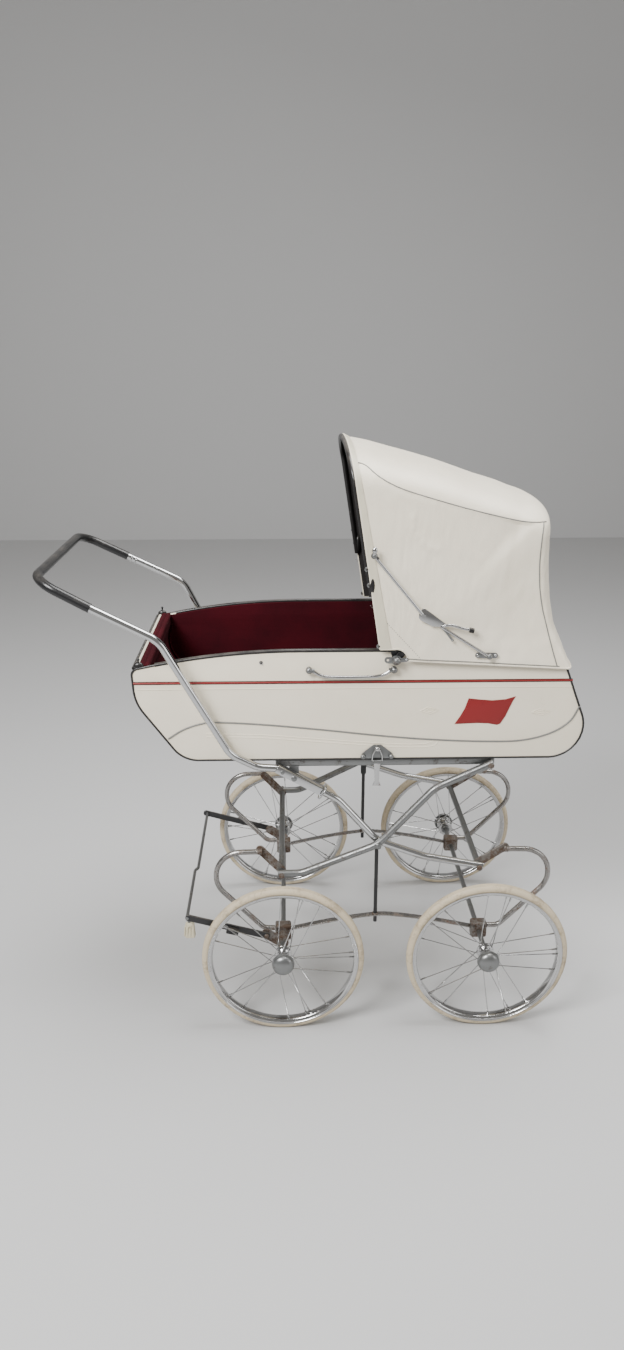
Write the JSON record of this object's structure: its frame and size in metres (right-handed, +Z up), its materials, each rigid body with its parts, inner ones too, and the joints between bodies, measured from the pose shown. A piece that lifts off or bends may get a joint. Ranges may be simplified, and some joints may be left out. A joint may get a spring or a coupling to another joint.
{
  "type": "baby pram",
  "caption": "Coach-built baby pram: sprung crossed-arm chassis on spoked wheels, hard-sided cot, bent push handle and folding cloth hood with landau stays.",
  "frame": {"origin": "on the ground under the middle of the outline", "axes": "+X the way it is pushed (hood end), +Y its left side, +Z up"},
  "size_m": [1.0572, 0.636, 1.1768],
  "materials": {
    "rubber_cream": "matt cream rubber",
    "chrome": "worn chrome",
    "grey_paint": "worn grey",
    "black_paint": "satin black",
    "rusty_steel": "rust-spotted",
    "black_plastic": "satin",
    "cream_leathercloth": "soft satin",
    "burgundy_lining": "woven",
    "mattress_cotton": "cotton"
  },
  "bodies": {
    "undercarriage": {"axle_rear": "grey_paint", "axle_front": "grey_paint", "axle_bracket_rear_left": "rusty_steel", "axle_bracket_rear_right": "rusty_steel", "axle_bracket_front_left": "rusty_steel", "axle_bracket_front_right": "rusty_steel", "tie_strip_left": "rusty_steel", "tie_strip_right": "rusty_steel", "c_spring_rear_left": "rusty_steel", "c_spring_rear_right": "rusty_steel", "c_spring_front_left": "rusty_steel", "c_spring_front_right": "rusty_steel"},
    "wheel_rear_left": {"tyre_rear_left": "rubber_cream", "rim_rear_left": "chrome", "hub_cap_rear_left": "chrome"},
    "wheel_rear_right": {"tyre_rear_right": "rubber_cream", "rim_rear_right": "chrome", "hub_cap_rear_right": "chrome"},
    "wheel_front_left": {"tyre_front_left": "rubber_cream", "rim_front_left": "chrome", "hub_cap_front_left": "chrome"},
    "wheel_front_right": {"tyre_front_right": "rubber_cream", "rim_front_right": "chrome", "hub_cap_front_right": "chrome"},
    "brake": {"brake_bar": "grey_paint", "brake_pedal": "rubber_cream"},
    "chassis": {"cross_tube_rear": "grey_paint", "cross_tube_front": "grey_paint", "frame_arm_handle_left": "chrome", "frame_arm_handle_right": "chrome", "frame_arm_rail_left": "grey_paint", "frame_arm_rail_right": "grey_paint", "cot_rail_left": "grey_paint", "cot_rail_right": "grey_paint", "guide_post_left": "black_paint", "guide_post_right": "black_paint"},
    "handle": {"push_handle": "chrome", "handle_grip": "black_plastic", "handle_channel_left": "chrome", "handle_channel_right": "chrome"},
    "lock_ring_left": {"lock_ring_left": "chrome"},
    "lock_ring_right": {"lock_ring_right": "chrome"},
    "cot": {"cot_shell": "cream_leathercloth", "cot_liner": "burgundy_lining", "mattress": "mattress_cotton", "hood_cover": "cream_leathercloth", "latch_plate_left": "chrome", "latch_plate_right": "chrome", "hood_pivot_left": "chrome", "hood_pivot_right": "chrome"},
    "carry_handle_left": {"carry_handle_left": "chrome"},
    "latch_lever_left": {"latch_lever_left": "chrome"},
    "hood_stay_lower_left": {"hood_stay_lower_left": "chrome"},
    "hood_stay_upper_left": {"hood_stay_upper_left": "chrome"},
    "carry_handle_right": {"carry_handle_right": "chrome"},
    "latch_lever_right": {"latch_lever_right": "chrome"},
    "hood_stay_lower_right": {"hood_stay_lower_right": "chrome"},
    "hood_stay_upper_right": {"hood_stay_upper_right": "chrome"},
    "hood_bow_front": {"hood_bow_front": "chrome"},
    "hood_bow_rear": {"hood_bow_rear": "chrome"}
  },
  "joints": [
    {"name": "wheel_rear_left_spin", "type": "hinge", "parent": "undercarriage", "child": "wheel_rear_left", "pos_m": [-0.0686, 0.2817, 0.165], "axis": [0, 1, 0], "continuous": true},
    {"name": "wheel_rear_right_spin", "type": "hinge", "parent": "undercarriage", "child": "wheel_rear_right", "pos_m": [-0.0686, -0.2817, 0.165], "axis": [0, 1, 0], "continuous": true},
    {"name": "wheel_front_left_spin", "type": "hinge", "parent": "undercarriage", "child": "wheel_front_left", "pos_m": [0.3474, 0.2817, 0.165], "axis": [0, 1, 0], "continuous": true},
    {"name": "wheel_front_right_spin", "type": "hinge", "parent": "undercarriage", "child": "wheel_front_right", "pos_m": [0.3474, -0.2817, 0.165], "axis": [0, 1, 0], "continuous": true},
    {"name": "brake_press", "type": "hinge", "parent": "undercarriage", "child": "brake", "pos_m": [-0.1026, 0, 0.188], "axis": [0, -1, 0], "range_deg": [0, 10]},
    {"name": "suspension", "type": "slide", "parent": "undercarriage", "child": "chassis", "axis": [0, 0, 1], "range_m": [-0.025, 0], "stiffness_N_per_m": 9000, "springref_m": 0.022, "deforming": ["c_spring_rear_left", "c_spring_rear_right", "c_spring_front_left", "c_spring_front_right"]},
    {"name": "handle_fold", "type": "hinge", "parent": "chassis", "child": "handle", "pos_m": [-0.0436, 0, 0.531], "axis": [0, -1, 0], "range_deg": [0, 52]},
    {"name": "lock_ring_left_slide", "type": "slide", "parent": "chassis", "child": "lock_ring_left", "axis": [0.866, 0, -0.5], "range_m": [0, 0.04]},
    {"name": "lock_ring_right_slide", "type": "slide", "parent": "chassis", "child": "lock_ring_right", "axis": [0.866, 0, -0.5], "range_m": [0, 0.04]},
    {"name": "cot_lift", "type": "slide", "parent": "chassis", "child": "cot", "axis": [0, 0, 1], "range_m": [0, 0.25]},
    {"name": "carry_handle_left_swing", "type": "hinge", "parent": "cot", "child": "carry_handle_left", "pos_m": [0.0684, 0.2025, 0.756], "axis": [1, 0, 0], "range_deg": [0, 95]},
    {"name": "latch_lever_left_swing", "type": "hinge", "parent": "cot", "child": "latch_lever_left", "pos_m": [0.1214, 0.2018, 0.564], "axis": [1, 0, 0], "range_deg": [0, 90]},
    {"name": "carry_handle_right_swing", "type": "hinge", "parent": "cot", "child": "carry_handle_right", "pos_m": [0.0684, -0.2025, 0.756], "axis": [-1, 0, 0], "range_deg": [0, 95]},
    {"name": "latch_lever_right_swing", "type": "hinge", "parent": "cot", "child": "latch_lever_right", "pos_m": [0.1214, -0.2018, 0.564], "axis": [-1, 0, 0], "range_deg": [0, 90]},
    {"name": "hood_fold", "type": "hinge", "parent": "cot", "child": "hood_bow_front", "pos_m": [0.1534, 0, 0.777], "axis": [0, 1, 0], "range_deg": [0, 84], "deforming": ["hood_cover"]},
    {"name": "hood_rear_fold", "type": "hinge", "parent": "cot", "child": "hood_bow_rear", "pos_m": [0.1534, 0, 0.777], "axis": [0, 1, 0], "range_deg": [0, 38]},
    {"name": "hood_stay_lower_left_fold", "type": "hinge", "parent": "cot", "child": "hood_stay_lower_left", "pos_m": [0.3264, 0, 0.786], "axis": [0, -1, 0], "range_deg": [0, 12]},
    {"name": "hood_stay_upper_left_fold", "type": "hinge", "parent": "hood_bow_front", "child": "hood_stay_upper_left", "pos_m": [0.1064, 0, 0.981], "axis": [0, 1, 0], "range_deg": [0, 50]},
    {"name": "hood_stay_lower_right_fold", "type": "hinge", "parent": "cot", "child": "hood_stay_lower_right", "pos_m": [0.3264, 0, 0.786], "axis": [0, -1, 0], "range_deg": [0, 12]},
    {"name": "hood_stay_upper_right_fold", "type": "hinge", "parent": "hood_bow_front", "child": "hood_stay_upper_right", "pos_m": [0.1064, 0, 0.981], "axis": [0, 1, 0], "range_deg": [0, 50]}
  ],
  "couplings": [
    {"joint": "lock_ring_left_slide", "follows": "handle_fold", "m_per_rad": 0.0415},
    {"joint": "lock_ring_right_slide", "follows": "handle_fold", "m_per_rad": 0.0415},
    {"joint": "hood_rear_fold", "follows": "hood_fold", "ratio": 0.42},
    {"joint": "hood_stay_lower_left_fold", "follows": "hood_fold", "ratio": 0.112},
    {"joint": "hood_stay_upper_left_fold", "follows": "hood_fold", "ratio": 0.523},
    {"joint": "hood_stay_lower_right_fold", "follows": "hood_fold", "ratio": 0.112},
    {"joint": "hood_stay_upper_right_fold", "follows": "hood_fold", "ratio": 0.523}
  ]
}
